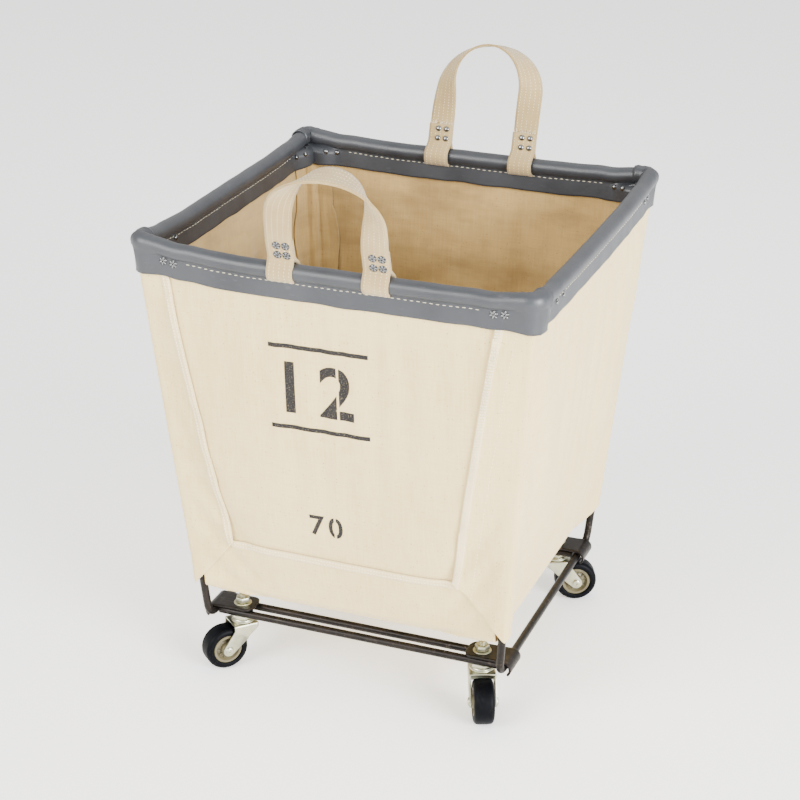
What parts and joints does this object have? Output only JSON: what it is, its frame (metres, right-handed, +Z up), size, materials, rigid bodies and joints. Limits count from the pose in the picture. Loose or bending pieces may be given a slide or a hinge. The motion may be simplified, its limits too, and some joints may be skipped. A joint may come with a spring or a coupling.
{
  "type": "canvas laundry basket truck",
  "caption": "Open tapered canvas laundry basket with a bound rim and webbing handles, carried by a steel wire frame on swivel casters.",
  "frame": {"origin": "on the floor, under the middle of the object's box", "axes": "+Z up; -Y is the front, with the stencil and the nearer handle; +X to the right seen from the front"},
  "size_m": [0.4504, 0.5188, 0.6462],
  "materials": {
    "dark_steel": "dark brown-black oiled steel rod and pressed plate",
    "zinc": "pale yellowish zinc plate",
    "black_rubber": "smooth black rubber",
    "olive_plastic": "olive grey moulded plastic",
    "cream_canvas": "natural cotton duck with fine flecks",
    "grey_vinyl": "slate grey vinyl, soft gloss",
    "cotton_webbing": "natural cotton webbing with rows of stitches"
  },
  "bodies": {
    "root": {"rim_rod": "dark_steel", "binding_front": "grey_vinyl", "binding_back": "grey_vinyl", "binding_left": "grey_vinyl", "binding_right": "grey_vinyl", "canvas_body": "cream_canvas", "front_panel": "cream_canvas", "back_panel": "cream_canvas", "sleeve_fl": "cream_canvas", "sleeve_fr": "cream_canvas", "sleeve_bl": "cream_canvas", "sleeve_br": "cream_canvas", "side_wire_left": "dark_steel", "side_wire_right": "dark_steel", "cross_rod_front_outer": "dark_steel", "cross_rod_front_inner": "dark_steel", "cross_rod_back_outer": "dark_steel", "cross_rod_back_inner": "dark_steel", "plate_fl": "dark_steel", "stem_fl": "zinc", "nut_fl": "zinc", "washer_fl": "zinc", "plate_fr": "dark_steel", "stem_fr": "zinc", "nut_fr": "zinc", "washer_fr": "zinc", "plate_bl": "dark_steel", "stem_bl": "zinc", "nut_bl": "zinc", "washer_bl": "zinc", "plate_br": "dark_steel", "stem_br": "zinc", "nut_br": "zinc", "washer_br": "zinc"},
    "swivel_fl": {"fork_fl": "zinc", "raceway_fl": "zinc", "axle_fl": "zinc"},
    "wheel_fl": {"core_fl": "olive_plastic", "tyre_fl": "black_rubber"},
    "swivel_fr": {"fork_fr": "zinc", "raceway_fr": "zinc", "axle_fr": "zinc"},
    "wheel_fr": {"core_fr": "olive_plastic", "tyre_fr": "black_rubber"},
    "swivel_bl": {"fork_bl": "zinc", "raceway_bl": "zinc", "axle_bl": "zinc"},
    "wheel_bl": {"core_bl": "olive_plastic", "tyre_bl": "black_rubber"},
    "swivel_br": {"fork_br": "zinc", "raceway_br": "zinc", "axle_br": "zinc"},
    "wheel_br": {"core_br": "olive_plastic", "tyre_br": "black_rubber"},
    "handle_front": {"front_handle": "cotton_webbing"},
    "handle_back": {"back_handle": "cotton_webbing"}
  },
  "joints": [
    {"name": "swivel_fl", "type": "hinge", "parent": "root", "child": "swivel_fl", "pos_m": [-0.145, -0.14, 0], "axis": [0, 0, 1], "continuous": true},
    {"name": "roll_fl", "type": "hinge", "parent": "swivel_fl", "child": "wheel_fl", "pos_m": [-0.16106, -0.15784, 0.02524], "axis": [0.7431, -0.6691, 0], "continuous": true},
    {"name": "swivel_fr", "type": "hinge", "parent": "root", "child": "swivel_fr", "pos_m": [0.145, -0.14, 0], "axis": [0, 0, 1], "continuous": true},
    {"name": "roll_fr", "type": "hinge", "parent": "swivel_fr", "child": "wheel_fr", "pos_m": [0.15476, -0.16193, 0.02524], "axis": [0.9135, 0.4067, 0], "continuous": true},
    {"name": "swivel_bl", "type": "hinge", "parent": "root", "child": "swivel_bl", "pos_m": [-0.145, 0.14, 0], "axis": [0, 0, 1], "continuous": true},
    {"name": "roll_bl", "type": "hinge", "parent": "swivel_bl", "child": "wheel_bl", "pos_m": [-0.16818, 0.14621, 0.02524], "axis": [-0.2588, -0.9659, 0], "continuous": true},
    {"name": "swivel_br", "type": "hinge", "parent": "root", "child": "swivel_br", "pos_m": [0.145, 0.14, 0], "axis": [0, 0, 1], "continuous": true},
    {"name": "roll_br", "type": "hinge", "parent": "swivel_br", "child": "wheel_br", "pos_m": [0.16692, 0.14976, 0.02524], "axis": [-0.4067, 0.9135, 0], "continuous": true},
    {"name": "handle_front_swing", "type": "hinge", "parent": "root", "child": "handle_front", "pos_m": [0, -0.219, 0.519], "axis": [1, 0, 0], "range_deg": [-103, 80]},
    {"name": "handle_back_swing", "type": "hinge", "parent": "root", "child": "handle_back", "pos_m": [0.0075, 0.219, 0.519], "axis": [-1, 0, 0], "range_deg": [-103, 80]}
  ]
}
